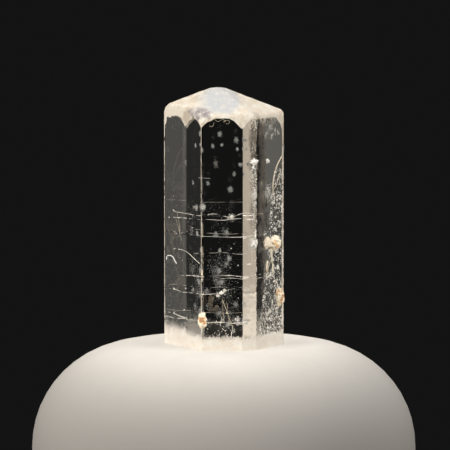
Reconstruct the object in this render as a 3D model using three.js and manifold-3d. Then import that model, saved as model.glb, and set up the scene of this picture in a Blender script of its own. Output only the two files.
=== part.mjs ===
// Phenakite crystal: a prism of nine upright faces with a low six-sided pyramid on top, its
// edges worn, and a natural break at its foot. Millimetres, +Z up along the crystal's long
// axis, standing on the break at z = 0, with the broad front face towards -Y.
import * as THREE from 'three';
import { ImprovedNoise } from 'three/addons/math/ImprovedNoise.js';
import { mergeVertices } from 'three/addons/utils/BufferGeometryUtils.js';
import Module from 'manifold-3d';

const wasm = await Module();
wasm.setup();

// ---- Driving dimensions, in millimetres and degrees ----

// The prism's upright faces: turn is counted anticlockwise from the front, seen from above,
// and reach is the distance of the face from the long axis.
const sideFaces = [
  { turn: 0, reach: 2.565 },
  { turn: 30, reach: 2.572 },
  { turn: 60, reach: 2.207 },
  { turn: 90, reach: 2.295 },
  { turn: 120, reach: 2.022 },
  { turn: 180, reach: 2.565 },
  { turn: 240, reach: 1.966 },
  { turn: 270, reach: 2.295 },
  { turn: 300, reach: 2.026 },
];

const peak = new THREE.Vector3(-0.246, -0.18, 10.0); // where the six pyramid faces would meet
const peakHeight = 9.92; // the tip is worn flat here
const pyramidTurns = [0, 60, 120, 180, 240, 300];
const pyramidDip = 23.8; // slope of a pyramid face

// Steep little faces that cut the top of each upright edge. low is the height of its lowest
// corner, on the edge between the two side faces that it truncates. The corners that show as
// an arch over a broad face have two such faces, the upper one less steep.
const cornerFaces = [
  { between: [300, 0], low: 8.62, dip: 62 },
  { between: [300, 0], low: 8.7, dip: 44 },
  { between: [0, 30], low: 8.56, dip: 76 },
  { between: [0, 30], low: 8.7, dip: 63 },
  { between: [30, 60], low: 8.86, dip: 74 },
  { between: [60, 90], low: 8.84, dip: 74 },
  { between: [90, 120], low: 8.84, dip: 74 },
  { between: [120, 180], low: 8.3, dip: 63 },
  { between: [120, 180], low: 8.38, dip: 46 },
  { between: [180, 240], low: 8.8, dip: 70 },
  { between: [240, 270], low: 9.0, dip: 74 },
  { between: [270, 300], low: 9.0, dip: 74 },
];

const uprightWear = 0.07; // width of the worn flat on an upright edge
const topWear = 0.13; // and on the edges of the termination
const shoulderWear = 0.36; // and on those of its edges that lie furthest left and right
const shoulderStart = 1.7; // distance from the axis where they start
const shortestEdge = 0.01; // an edge shorter than this has no flat

const blockSize = 40; // the blank, and the cutter for each face
const slack = 1e-6; // rounding errors allowed for when corners are found
const weldWithin = 1e-4; // points of a mesh closer than this are one

// Growth ledges: shallow grooves that run round the prism from one turn to another.
const ledges = [
  { height: 5.18, from: -170, to: 150 },
  { height: 5.03, from: -75, to: 40 },
  { height: 4.37, from: -150, to: 165 },
  { height: 3.36, from: -95, to: 60 },
  { height: 2.86, from: -70, to: 120 },
  { height: 2.2, from: -165, to: 75 },
  { height: 1.13, from: -170, to: 170 },
];
const ledgeDepth = 0.03;
const ledgeWidth = 0.06;
const ledgeSway = 0.09; // how far a ledge wanders up and down
const ledgeWaves = 2.5; // and how often on its way round
const ledgeStep = 14; // degrees between the points of its course
const ledgeFromCorner = 5; // degrees kept between them and an upright edge
const ledgeCutter = { radius: 4, segments: 12 }; // outer edge of the ring that cuts it

// Etch pits, scattered over patches of the side faces.
const pitPatches = [
  { turn: 60, count: 26, low: 0.9, high: 6.3, seed: 3 },
  { turn: 30, count: 10, low: 4.6, high: 8.3, seed: 8 },
  { turn: 90, count: 6, low: 1.2, high: 6.0, seed: 14 },
  { turn: 180, count: 14, low: 1.0, high: 8.0, seed: 21 },
  { turn: 0, count: 8, low: 1.0, high: 4.2, seed: 34 },
];
const pitWidth = { least: 0.05, most: 0.12 };
const pitDepth = 0.035; // of the part that lies below its middle
const pitRise = 0.009; // its middle stands this far out of the face
const pitStretch = 1.6; // a pit is longer up the crystal than across
const pitSpread = 3.4; // across the widest face
const pitFromLedge = 0.18; // no pit lies closer to a ledge

// Iron-stained crust and pale flakes left in hollows of the faces: the turn of the face that
// each lump sits on, its x and height, and its half sizes along, out of and up the face.
const crusts = [
  { turn: 60, x: 1.93, height: 4.0, half: [0.3, 0.18, 0.25], seed: 2 },
  { turn: 60, x: 1.62, height: 4.04, half: [0.2, 0.06, 0.2], seed: 6 },
  { turn: 60, x: 2.11, height: 1.88, half: [0.22, 0.14, 0.36], seed: 5 },
  { turn: 0, x: -0.81, height: 1.19, half: [0.16, 0.08, 0.3], seed: 9 },
  { turn: 60, x: 1.79, height: 3.24, half: [0.05, 0.03, 0.4], seed: 12 },
  { turn: 120, x: 1.56, height: 2.4, half: [0.24, 0.12, 0.22], seed: 17 },
  { turn: 30, x: 1.14, height: 7.1, half: [0.13, 0.04, 0.25], seed: 23 },
  { turn: 30, x: 1.15, height: 4.18, half: [0.1, 0.03, 0.26], seed: 27 },
  { turn: 60, x: 1.65, height: 7.17, half: [0.09, 0.05, 0.07], seed: 31 },
];
const crustRoughness = 0.28; // share of the size that its lumps take
const crustLumps = 1.7; // how many lumps there are across

// Part of the right-hand face is dissolved back to a shallow step. Its edge is a curve through
// points given by their distance along the face from its front edge and their height.
const dissolved = {
  turn: 60,
  frontEdge: [30, 60],
  depth: 0.02,
  edge: [[2.4, 7.62], [1.95, 7.3], [1.31, 6.24], [1.1, 5.6], [0.9, 4.55], [0.8, 3.0], [0.62, 1.6], [0.5, 0.62]],
  outside: 3.0,
  curveSteps: 20,
};

// Chips broken from the rim of the foot: the turn where each one lies, its height on the side
// face and how far it reaches in under the crystal.
const chips = [
  { turn: -33, height: 0.2, reach: 0.12 },
  { turn: 9, height: 0.1, reach: 0.1 },
  { turn: 38, height: 0.26, reach: 0.12 },
  { turn: 84, height: 0.18, reach: 0.2 },
  { turn: 141, height: 0.32, reach: 0.16 },
  { turn: 186, height: 0.14, reach: 0.14 },
  { turn: 222, height: 0.28, reach: 0.2 },
  { turn: 272, height: 0.2, reach: 0.14 },
  { turn: 303, height: 0.12, reach: 0.08 },
];
const chipRoundness = 1.1; // radius of the curved break that made a chip
const ballDetail = 3; // subdivisions of the balls that lumps and chips are made from

// ---- Helpers ----

const noise = new ImprovedNoise();
const radians = THREE.MathUtils.degToRad;

// Pseudo-random numbers from 0 to 1, the same on every run.
function randomFrom(seed) {
  let state = seed * 7919 + 17;
  return () => {
    state = (state * 16807) % 2147483647;
    return state / 2147483647;
  };
}

// The level direction that a turn points in, from the axis outwards.
const outward = (turn) => new THREE.Vector3(Math.sin(radians(turn)), -Math.cos(radians(turn)), 0);

function toSolid(geometry) {
  geometry.deleteAttribute('normal');
  geometry.deleteAttribute('uv');
  const merged = mergeVertices(geometry, weldWithin);
  return new wasm.Manifold(
    new wasm.Mesh({
      numProp: 3,
      vertProperties: new Float32Array(merged.attributes.position.array),
      triVerts: new Uint32Array(merged.index.array),
    }),
  );
}

function toGeometry(solid) {
  const mesh = solid.getMesh();
  const geometry = new THREE.BufferGeometry();
  geometry.setAttribute('position', new THREE.BufferAttribute(mesh.vertProperties, 3));
  geometry.setIndex(new THREE.BufferAttribute(mesh.triVerts, 1));
  const faceted = geometry.toNonIndexed();
  faceted.computeVertexNormals();
  return faceted;
}

// Takes away all that lies beyond a facet, a plane given by its normal and its distance.
function cutFacet(solid, facet) {
  const beyond = new THREE.BoxGeometry(blockSize, blockSize, blockSize);
  const turned = new THREE.Quaternion().setFromUnitVectors(new THREE.Vector3(0, 0, 1), facet.normal);
  const middle = facet.normal.clone().multiplyScalar(facet.reach + blockSize / 2);
  beyond.applyMatrix4(new THREE.Matrix4().compose(middle, turned, new THREE.Vector3(1, 1, 1)));
  return solid.subtract(toSolid(beyond));
}

// ---- Facets ----

const facetThrough = (normal, point, kind) => ({ normal, reach: normal.dot(point), kind });

const sideFacets = sideFaces.map(({ turn, reach }) => ({ normal: outward(turn), reach, kind: 'side', turn }));

// The normal of a face that dips by an angle from level, facing a turn.
function dippingNormal(turn, dip) {
  return outward(turn).multiplyScalar(Math.sin(radians(dip))).setZ(Math.cos(radians(dip)));
}

// The plan position of the upright edge between two side faces.
function uprightEdge(turnA, turnB) {
  const a = sideFacets.find((facet) => facet.turn === turnA);
  const b = sideFacets.find((facet) => facet.turn === turnB);
  const cross = a.normal.x * b.normal.y - a.normal.y * b.normal.x;
  return new THREE.Vector3(
    (a.reach * b.normal.y - b.reach * a.normal.y) / cross,
    (b.reach * a.normal.x - a.reach * b.normal.x) / cross,
    0,
  );
}

function cornerFacet({ between: [turnA, turnB], low, dip }) {
  const bisector = outward(turnA).add(outward(turnB)).normalize();
  const normal = bisector.multiplyScalar(Math.sin(radians(dip))).setZ(Math.cos(radians(dip)));
  return facetThrough(normal, uprightEdge(turnA, turnB).setZ(low), 'corner');
}

const topFacets = [
  ...pyramidTurns.map((turn) => facetThrough(dippingNormal(turn, pyramidDip), peak, 'pyramid')),
  ...cornerFaces.map(cornerFacet),
  { normal: new THREE.Vector3(0, 0, 1), reach: peakHeight, kind: 'pyramid' },
];
const facets = [...sideFacets, ...topFacets];

// Every edge where two facets meet: each corner of the solid is a point that three facets
// share and no other facet cuts off, and an edge is two facets with two such corners.
function findEdges(all) {
  const corners = new Map();
  for (let i = 0; i < all.length; i++) {
    for (let j = i + 1; j < all.length; j++) {
      for (let k = j + 1; k < all.length; k++) {
        const rows = [all[i], all[j], all[k]];
        const matrix = new THREE.Matrix3().set(...rows.flatMap((facet) => facet.normal.toArray()));
        if (Math.abs(matrix.determinant()) < slack) continue;
        const point = new THREE.Vector3(...rows.map((facet) => facet.reach));
        point.applyMatrix3(matrix.invert());
        if (all.some((facet) => facet.normal.dot(point) > facet.reach + slack)) continue;
        for (const pair of [[i, j], [i, k], [j, k]]) {
          const key = pair.join();
          corners.set(key, [...(corners.get(key) ?? []), point]);
        }
      }
    }
  }
  const edges = [];
  for (const [key, points] of corners) {
    const [a, b] = key.split(',').map((index) => all[index]);
    const length = points[0].distanceTo(points[points.length - 1]);
    if (points.length > 1 && length > shortestEdge) edges.push({ a, b, point: points[0] });
  }
  return edges;
}

// The narrow flat that wear leaves along an edge, as one more facet.
function wornFlat({ a, b, point }) {
  const topWidth = Math.abs(point.x) > shoulderStart ? shoulderWear : topWear;
  const width = a.kind === 'side' && b.kind === 'side' ? uprightWear : topWidth;
  const halfTurn = a.normal.angleTo(b.normal) / 2;
  const depth = (width / 2) * Math.tan(halfTurn);
  const normal = a.normal.clone().add(b.normal).normalize();
  return { normal, reach: normal.dot(point) - depth };
}

function makeFacetedCrystal() {
  const blank = new THREE.BoxGeometry(blockSize / 2, blockSize / 2, blockSize / 2);
  blank.translate(0, 0, blockSize / 4);
  const flats = findEdges(facets).map(wornFlat);
  return [...facets, ...flats].reduce(cutFacet, toSolid(blank));
}

// ---- Surface features ----

// How far the prism reaches from its axis in one direction.
function prismReach(turn) {
  const direction = outward(turn);
  const reaches = sideFacets
    .filter((facet) => facet.normal.dot(direction) > 0)
    .map((facet) => facet.reach / facet.normal.dot(direction));
  return Math.min(...reaches);
}

const onPrism = (turn, height) => outward(turn).multiplyScalar(prismReach(turn)).setZ(height);

// A thin level ring around the prism, whose hole reaches a little way into the crystal over
// the stretch that the ledge covers and stands clear of it over the rest.
function makeLedge({ height, from, to }) {
  const turns = [];
  for (let turn = -180; turn < 180; turn += ledgeStep) turns.push(turn);
  const uprights = sideFacets.map((facet, i) => {
    const next = sideFacets[(i + 1) % sideFacets.length];
    const edge = uprightEdge(facet.turn, next.turn);
    return THREE.MathUtils.radToDeg(Math.atan2(edge.x, -edge.y));
  });
  const apart = turns.filter((turn) => uprights.every((upright) => Math.abs(turn - upright) > ledgeFromCorner));
  const stations = [...apart, ...uprights].sort((a, b) => a - b);
  const inner = stations.map((turn) => {
    const cut = turn > from && turn < to ? ledgeDepth : -ledgeDepth;
    return onPrism(turn, 0).addScaledVector(outward(turn), -cut);
  });
  const ring = new THREE.Shape();
  ring.absarc(0, 0, ledgeCutter.radius, 0, 2 * Math.PI);
  ring.holes.push(new THREE.Path(inner.map((point) => new THREE.Vector2(point.x, point.y))));
  const band = new THREE.ExtrudeGeometry(ring, {
    depth: ledgeWidth,
    curveSegments: ledgeCutter.segments,
    bevelEnabled: false,
  });
  const positions = band.getAttribute('position');
  for (let i = 0; i < positions.count; i++) {
    const direction = new THREE.Vector2(positions.getX(i), positions.getY(i)).normalize();
    const sway = ledgeSway * noise.noise(direction.x * ledgeWaves, -direction.y * ledgeWaves, height);
    positions.setZ(i, positions.getZ(i) + height + sway);
  }
  return toSolid(band);
}

function makePits({ turn, count, low, high, seed }) {
  const random = randomFrom(seed);
  const side = sideFacets.find((facet) => facet.turn === turn);
  const along = new THREE.Vector3(0, 0, 1).cross(side.normal);
  const neighbours = sideFacets.filter((facet) => facet !== side);
  const pits = [];
  while (pits.length < count) {
    const spread = (random() - 0.5) * pitSpread;
    const place = side.normal.clone().multiplyScalar(side.reach).addScaledVector(along, spread);
    const margin = Math.min(...neighbours.map((facet) => facet.reach - facet.normal.dot(place)));
    place.z = THREE.MathUtils.lerp(low, high, random());
    const width = THREE.MathUtils.lerp(pitWidth.least, pitWidth.most, random() ** 2);
    const nearLedge = ledges.some((ledge) => Math.abs(ledge.height - place.z) < pitFromLedge);
    if (margin < width || nearLedge) continue;
    const pit = new THREE.OctahedronGeometry(1, 0);
    pit.scale(width / 2, pitDepth, (width / 2) * pitStretch);
    pit.rotateZ(radians(turn));
    place.addScaledVector(side.normal, pitRise);
    pit.translate(place.x, place.y, place.z);
    pits.push(toSolid(pit));
  }
  return pits;
}

function makeCrust({ turn, x, height, half, seed }) {
  const lump = new THREE.IcosahedronGeometry(1, ballDetail);
  const positions = lump.getAttribute('position');
  const point = new THREE.Vector3();
  for (let i = 0; i < positions.count; i++) {
    point.fromBufferAttribute(positions, i);
    const place = point.clone().multiplyScalar(crustLumps).add(new THREE.Vector3(seed, 0, -seed));
    point.multiplyScalar(1 + crustRoughness * noise.noise(...place.toArray()));
    positions.setXYZ(i, point.x, point.y, point.z);
  }
  lump.scale(...half);
  lump.rotateZ(radians(turn));
  const side = sideFacets.find((facet) => facet.turn === turn);
  lump.translate(x, (side.normal.x * x - side.reach) / -side.normal.y, height);
  return toSolid(lump);
}

// A blade as thick as twice the step is deep, lying half sunk in the face.
function makeDissolvedStep({ turn, frontEdge, depth, edge, outside, curveSteps }) {
  const outline = new THREE.Shape([
    ...new THREE.SplineCurve(edge.map((point) => new THREE.Vector2(...point))).getPoints(curveSteps),
    new THREE.Vector2(outside, edge.at(-1)[1]),
    new THREE.Vector2(outside, edge[0][1]),
  ]);
  const blade = new THREE.ExtrudeGeometry(outline, { depth: 2 * depth, bevelEnabled: false });
  blade.translate(0, 0, -depth);
  const start = uprightEdge(...frontEdge);
  const across = new THREE.Vector3(0, 0, 1).cross(outward(turn));
  const place = new THREE.Matrix4().makeBasis(across, new THREE.Vector3(0, 0, 1), outward(turn));
  blade.applyMatrix4(place.setPosition(start));
  return toSolid(blade);
}

// A large ball sunk a little way into the rim, so that the break it leaves is shallow.
function makeChip({ turn, height, reach }) {
  const lean = Math.atan2(height, reach);
  const into = outward(turn).multiplyScalar(Math.sin(lean)).setZ(-Math.cos(lean));
  const chord = Math.hypot(height, reach) / 2;
  const sunk = chipRoundness - Math.sqrt(chipRoundness ** 2 - chord ** 2);
  const middle = outward(turn).multiplyScalar(prismReach(turn) - reach / 2).setZ(height / 2);
  middle.addScaledVector(into, chipRoundness - sunk);
  const ball = new THREE.IcosahedronGeometry(chipRoundness, ballDetail);
  ball.translate(middle.x, middle.y, middle.z);
  return toSolid(ball);
}

// ---- The crystal ----

function makeCrystal() {
  let crystal = makeFacetedCrystal();
  for (const ledge of ledges) crystal = crystal.subtract(makeLedge(ledge));
  crystal = crystal.subtract(makeDissolvedStep(dissolved));
  for (const patch of pitPatches) {
    for (const pit of makePits(patch)) crystal = crystal.subtract(pit);
  }
  for (const chip of chips) crystal = crystal.subtract(makeChip(chip));
  for (const crust of crusts) crystal = crystal.add(makeCrust(crust));
  return toGeometry(crystal);
}

const clearMineral = new THREE.MeshStandardMaterial({
  color: 0xe9ecec,
  roughness: 0.12,
  metalness: 0,
  transparent: true,
  opacity: 0.45,
});

const crystal = new THREE.Mesh(makeCrystal(), clearMineral);
crystal.name = 'crystal';

const part = new THREE.Group();
part.add(crystal);

export default part;
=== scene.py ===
import math
import random

import bmesh
import bpy
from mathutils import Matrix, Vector, noise
from mathutils.geometry import delaunay_2d_cdt


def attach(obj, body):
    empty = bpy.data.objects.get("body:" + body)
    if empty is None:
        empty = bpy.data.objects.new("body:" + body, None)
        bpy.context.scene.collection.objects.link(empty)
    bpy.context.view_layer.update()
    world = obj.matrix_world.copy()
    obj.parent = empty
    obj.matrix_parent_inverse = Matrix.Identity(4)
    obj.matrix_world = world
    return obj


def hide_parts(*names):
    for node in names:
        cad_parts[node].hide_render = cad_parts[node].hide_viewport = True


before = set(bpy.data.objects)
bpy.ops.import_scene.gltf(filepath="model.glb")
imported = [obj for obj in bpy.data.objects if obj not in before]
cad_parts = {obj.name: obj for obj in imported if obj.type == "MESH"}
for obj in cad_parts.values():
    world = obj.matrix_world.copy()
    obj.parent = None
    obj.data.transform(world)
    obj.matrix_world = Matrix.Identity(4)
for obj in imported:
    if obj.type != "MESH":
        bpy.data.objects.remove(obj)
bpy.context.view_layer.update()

mm = 0.001
scene = bpy.context.scene


# lengths are in mm; a turn is degrees anticlockwise from the front (-Y), seen from above
crystal = {
    # side faces: turn of the face, its distance from the long axis
    "sides": {0: 2.565, 30: 2.572, 60: 2.207, 90: 2.295, 120: 2.022,
              180: 2.565, 240: 1.966, 270: 2.295, 300: 2.026},
    "peak": Vector((-0.246, -0.18, 10.0)),   # where the pyramid faces would meet
    "height": 9.885,                         # worn flat here
    "pyramidTurns": (0, 60, 120, 180, 240, 300),
    "pyramidDip": 23.8,
    # the side faces on either side of an upright edge, then lowest point and dip of each
    # little face that cuts the top of that edge
    "corners": [(300, 0, 8.62, 62), (300, 0, 8.7, 44),
                (0, 30, 8.56, 76), (0, 30, 8.7, 63),
                (30, 60, 8.86, 74),
                (60, 90, 8.84, 74), (90, 120, 8.84, 74),
                (120, 180, 8.3, 63), (120, 180, 8.38, 46),
                (180, 240, 8.8, 70),
                (240, 270, 9.0, 74), (270, 300, 9.0, 74)],
    "uprightWear": 0.035,     # from an upright edge to where its rounding starts
    "topWear": 0.1,
    "shoulderWear": 0.19,     # the same at the top of the outline, beyond shoulderStart
    "shoulderStart": 1.7,
    "footWear": 0.02,
    # upright edges that are rubbed: their wear, and about what share of it is frosted
    "rubbedEdges": {(300, 0): (0.02, 0.76), (30, 60): (0.035, 0.2), (60, 90): (0.2, 0.95),
                    (270, 300): (0.1, 0.6)},
    # frost that runs down the outline: its x, the height it reaches, its rise per mm inwards
    "frostTongues": [(2.295, 8.4, 1.8), (-2.295, 8.2, 5.0)],
    # how far down the frost of the tip comes on two side faces, as (x, height)
    "frostLines": {300: [(-2.3, 8.6), (-2.2, 8.8), (-1.95, 8.84), (-1.72, 8.86), (-1.6, 8.76),
                         (-1.47, 8.53), (-1.42, 8.53), (-1.3, 8.78), (-1.16, 8.9), (-1.0, 8.86),
                         (-0.86, 8.7)],
                   60: [(1.25, 8.95), (1.62, 8.88), (1.8, 8.9), (1.97, 8.78), (2.1, 8.62), (2.2, 8.43),
                        (2.3, 8.15)]},
    # side faces where the frost thins out: clear below, unbroken above, share of it halfway
    "frostFades": {30: (8.45, 8.95, 0.6), 60: (8.35, 8.95, 0.5)},
    "wearFlats": 2,           # narrow flats along a worn edge, one more at the tip
    "spacing": 0.07,          # between points of the mesh
    "etchedSpacing": 0.036,   # the same where the mesh is finer
    "edgeSpacing": 0.065,     # the same along the edges
    "rowShare": 0.866,        # rows of a triangular grid are this share of its spacing apart
    "wallGap": 0.45,          # least distance of a point from an edge, in spacings
    "jitter": 0.2,
    "seed": 11,
    # growth ledges: height, first and last turn, depth
    "ledges": [(5.18, -125, 60, 0.008), (5.03, -80, 40, 0.006), (4.37, -120, 100, 0.009),
               (3.36, -95, 60, 0.006), (2.86, -75, 120, 0.007), (2.2, -110, 75, 0.008),
               (1.13, -125, 110, 0.01)],
    "ledgeWidth": 0.022,
    "ledgeSway": 0.05,
    "ledgeRows": (-1.4, -0.7, 0, 0.7, 1.4),   # rows of points across a ledge, in its widths
    "ledgeClear": 0.05,      # no other points this near to a ledge
    "ledgeFade": 12,         # degrees over which its two ends fade
    "waveHeight": 0.0012,    # slow swell of the side faces
    "tipHeight": 0.01,       # growth hillocks on the pyramid
    "footHeight": 0.05,      # broken foot, cut inwards only
    "etchHeight": 0.014,     # dissolved surface
    "stripEnd": 1.3,         # left of this x the dissolved surface is finer and shallower
    "stripFineness": 2.1,
    "stripShare": 0.45,
    # a dissolved strip, grime and a dull film beside the front band: the x over which each
    # fades in, then out
    "etchedStrip": (0.96, 1.05, 1.25, 1.32),
    "grimeStrip": (0.94, 1.08, 1.3, 1.4),
    "filmStrip": (1.22, 1.34),
    "filmEnd": (1.55, 0.08, 0.12),     # it fades out round this x, from so far before to so far after
    # the heights over which the strip, the grime and the film begin, reach their full strength
    # and end
    "etchedFrom": (4.6, 5.4),
    "etchedFull": (6.9, 7.2),
    "grimeFrom": (4.2, 5.2),
    "grimeFull": (6.9, 7.5),
    "filmFrom": (0.9, 2.0),
    "filmFull": (3.4, 4.6),
    "filmTop": (8.5, 9.0),
    # where the dissolved part of the right-hand face begins, as (height, x)
    "etchedEdge": [(0.4, 1.28), (0.9, 1.36), (1.6, 1.48), (2.5, 1.62), (3.5, 1.74), (4.5, 1.76),
                   (5.5, 1.82), (6.3, 1.9), (6.8, 1.97), (7.3, 2.2), (8.0, 2.5)],
    "milky": (0.9, 1.7),     # the prism is milky below one height and clear above the other
    "milkyClear": 0.16,      # share of that milk on the front, back and right-hand faces
    "milkyBand": (1.9, 3.1, 0.42),     # the same for the front band, and the most it has
    "bandEnd": 1.28,         # the band is left of this x
    # the frost of the foot on each side face: unbroken up to one height, gone at the other
    "footTops": {0: (0.44, 0.6), 30: (0.42, 0.6), 60: (0.42, 0.66), 90: (0.45, 0.85), 120: (0.15, 0.4),
                 180: (0.1, 0.28), 240: (0.6, 1.0), 270: (0.6, 1.1), 300: (0.52, 0.92)},
    "lowFoot": (-1.42, 0.8),   # it reaches less high on the left-hand face beyond this x
    # painted sheen: the front slope of the tip is painted bluish up to the peak, a painted reflection of
    # cool light: x and y of the middle of that sheen, its reach both ways, and the heights over which it
    # begins
    "sheenMiddle": (-0.13, -1.25),
    "sheenReach": (0.92, 1.55),
    "sheenFrom": (8.86, 9.1),
    # the ends of the grey streak on the front left slope, and two beige spots, with what is
    # added to the radius of each
    "greyStreak": (Vector((-1.33, -1.97, 9.16)), Vector((-0.72, -2.3, 8.97))),
    "beigeSpots": ((Vector((-1.42, -1.6, 8.82)), 0.05), (Vector((1.3, -2.1, 9.02)), 0.0)),
    "whiteFoot": (0.9, 1.4),  # the frost is whiter below
    # painted light: the upright faces of the left shoulder are painted paler where more light falls on
    # them; x beyond which, and height above which, they are paler
    "paintedShoulderLight": ((1.2, 1.5), (7.8, 8.3)),
    "fineBelow": 1.2,        # finer mesh where the frost fades out
    "fineAbove": 8.2,
    "creaseAngle": 9,        # edges sharper than this are shaded sharp
}


def outward(turn):
    a = math.radians(turn)
    return Vector((math.sin(a), -math.cos(a), 0.0))


def dipping(direction, dip):
    a = math.radians(dip)
    return Vector((direction.x * math.sin(a), direction.y * math.sin(a), math.cos(a)))


def uprightEdge(turnA, turnB):
    a, b = outward(turnA), outward(turnB)
    cross = a.x * b.y - a.y * b.x
    reachA, reachB = crystal["sides"][turnA], crystal["sides"][turnB]
    return Vector(((reachA * b.y - reachB * a.y) / cross, (reachB * a.x - reachA * b.x) / cross, 0.0))


def onFace(turn, x, z, sunk=0.0):
    # the point of a side face at this x and height, sunk below its surface
    a = math.radians(turn)
    return Vector((x, (x * math.sin(a) - crystal["sides"][turn] + sunk) / math.cos(a), z))


def onSection(turn, z, sunk=0.0):
    # the point of the prism's outline straight out from the axis at this turn
    leans = [(r, math.cos(math.radians(turn - t))) for t, r in crystal["sides"].items()]
    reach = min((r - sunk) / lean for r, lean in leans if lean > 0.2)
    return outward(turn) * reach + Vector((0, 0, z))


def isInside(p, depth):
    return all(outward(turn).dot(p) < reach - depth for turn, reach in crystal["sides"].items())


def smooth(low, high, value):
    s = min(1.0, max(0.0, (value - low) / (high - low)))
    return s * s * (3 - 2 * s)


def within(limits, x, wobble=0.0):
    # fades in between the first two limits and out between the last two
    fadeIn = smooth(limits[0], limits[1], x + wobble)
    return fadeIn * (1 - smooth(limits[2], limits[3], x))


def noiseAt(x, y, z):
    return noise.noise(Vector((x, y, z)))


def listFacets():
    # each facet: normal, distance from the origin, kind, turns of the side faces it belongs to
    facets = [(outward(turn), reach, "side", (turn,)) for turn, reach in crystal["sides"].items()]
    for turn in crystal["pyramidTurns"]:
        normal = dipping(outward(turn), crystal["pyramidDip"])
        facets.append((normal, normal.dot(crystal["peak"]), "tip", ()))
    for turnA, turnB, low, dip in crystal["corners"]:
        normal = dipping((outward(turnA) + outward(turnB)).normalized(), dip)
        point = uprightEdge(turnA, turnB)
        point.z = low
        facets.append((normal, normal.dot(point), "tip", ()))
    facets.append((Vector((0, 0, 1)), crystal["height"], "tip", ()))
    facets.append((Vector((0, 0, -1)), 0.0, "foot", ()))
    return facets


def cutConvex(facets):
    # a block cut down by one plane after another
    bm = bmesh.new()
    bmesh.ops.create_cube(bm, size=60)
    for facet in facets:
        normal, reach = facet[:2]
        everything = bm.verts[:] + bm.edges[:] + bm.faces[:]
        cut = bmesh.ops.bisect_plane(bm, geom=everything, plane_co=normal * reach, plane_no=normal,
                                     clear_outer=True, dist=1e-5)
        rim = [e for e in cut["geom_cut"] if isinstance(e, bmesh.types.BMEdge)]
        if rim:
            bmesh.ops.contextual_create(bm, geom=rim)
    bmesh.ops.recalc_face_normals(bm, faces=bm.faces[:])
    return bm


def findFacet(face, facets):
    # the facet that a cut face lies on
    centre = face.calc_center_median()
    misses = [abs(f[0].dot(centre) - f[1]) + 3 * (1 - f[0].dot(face.normal)) for f in facets]
    return facets[misses.index(min(misses))]


def findRubbed(turns):
    return crystal["rubbedEdges"].get(turns) or crystal["rubbedEdges"].get(turns[::-1])


def wearBetween(facetA, facetB, middle):
    # how far the wear of an edge reaches, and the number of flats that follow it
    kinds = (facetA[2], facetB[2])
    if "foot" in kinds:
        return crystal["footWear"], crystal["wearFlats"]
    if "tip" in kinds:
        outside = abs(middle.x) > crystal["shoulderStart"]
        return crystal["shoulderWear" if outside else "topWear"], crystal["wearFlats"] + 1
    rubbed = findRubbed(facetA[3] + facetB[3])
    return rubbed[0] if rubbed else crystal["uprightWear"], crystal["wearFlats"]


def roundEdges(facets):
    # every edge gets a few narrow flats that follow a rounding
    bm = cutConvex(facets)
    rounded = list(facets)
    for edge in bm.edges:
        facetA, facetB = [findFacet(f, facets) for f in edge.link_faces]
        n1, n2 = facetA[0], facetB[0]
        point = edge.verts[0].co
        wear, flats = wearBetween(facetA, facetB, (point + edge.verts[1].co) / 2)
        radius = wear / math.tan(n1.angle(n2) / 2)
        for i in range(flats):
            normal = n1.slerp(n2, (i + 1) / (flats + 1))
            sunk = radius * ((n1 + n2).dot(normal) / (1 + n1.dot(n2)) - 1)
            rounded.append((normal, point.dot(normal) - sunk, "wear", facetA[3] + facetB[3]))
    bm.free()
    return rounded


def ledgeHeight(ledge, x, y):
    turn = math.atan2(x, -y)
    sway = noiseAt(math.sin(turn) * 2.5, math.cos(turn) * 2.5, ledge[0] * 3)
    return ledge[0] + crystal["ledgeSway"] * sway


def ledgeRows(x, y):
    rows = []
    for ledge in crystal["ledges"]:
        middle = ledgeHeight(ledge, x, y)
        rows += [middle + k * crystal["ledgeWidth"] for k in crystal["ledgeRows"]]
    return rows


def nearLedge(p):
    clear = crystal["ledgeClear"]
    return any(abs(p.z - ledgeHeight(ledge, p.x, p.y)) < clear for ledge in crystal["ledges"])


def lineAt(line, place):
    # height of a line through (place, height) points
    for (a, heightA), (b, heightB) in zip(line, line[1:]):
        if place < b:
            return heightA + (heightB - heightA) * max(0.0, place - a) / (b - a)
    return line[-1][1]


def awayFromLine(p, a, b):
    # distance of a point from the straight line between two others
    share = (p - a).dot(b - a) / (b - a).length_squared
    return (p - a.lerp(b, min(1.0, max(0.0, share)))).length


def facesRight(n):
    # the faces to the right of the front, where the surface is dissolved and dulled
    return n.x >= 0.2 and n.y <= 0.2


def facesFrontRight(n):
    return n.x > 0.2 and n.y < -0.2


def etchedShare(p, n):
    # the dissolved patches: a strip beside the front band, and most of the right-hand face
    if not facesRight(n):
        return 0.0
    ragged = 0.22 * noiseAt(p.x * 0.7, p.z * 1.1, 4.0)
    ragged += 0.1 * noiseAt(p.x * 4, p.z * 4, 4.0)
    strip = within(crystal["etchedStrip"], p.x, 0.4 * ragged)
    strip *= smooth(*crystal["etchedFrom"], p.z) * (0.55 + 0.45 * smooth(*crystal["etchedFull"], p.z))
    line = lineAt(crystal["etchedEdge"], p.z)
    right = smooth(line - 0.08, line + 0.1, p.x + ragged)
    return max(strip, right) * smooth(0.3, 0.7, p.z)


def grimeShare(p, n):
    # the dissolved strip is clogged with dark grime, most of all at the top
    if not facesRight(n):
        return 0.0
    ragged = 0.12 * noiseAt(p.x * 2, p.z * 1.3, 8.0) + 0.06 * noise.noise(p * 6)
    strip = within(crystal["grimeStrip"], p.x, ragged)
    patchy = 0.78 + 0.22 * smooth(*crystal["grimeFull"], p.z) + 0.6 * noiseAt(p.x * 2.5, 5.0, p.z * 1.2)
    return min(1.0, patchy) * strip * smooth(*crystal["grimeFrom"], p.z)


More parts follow.
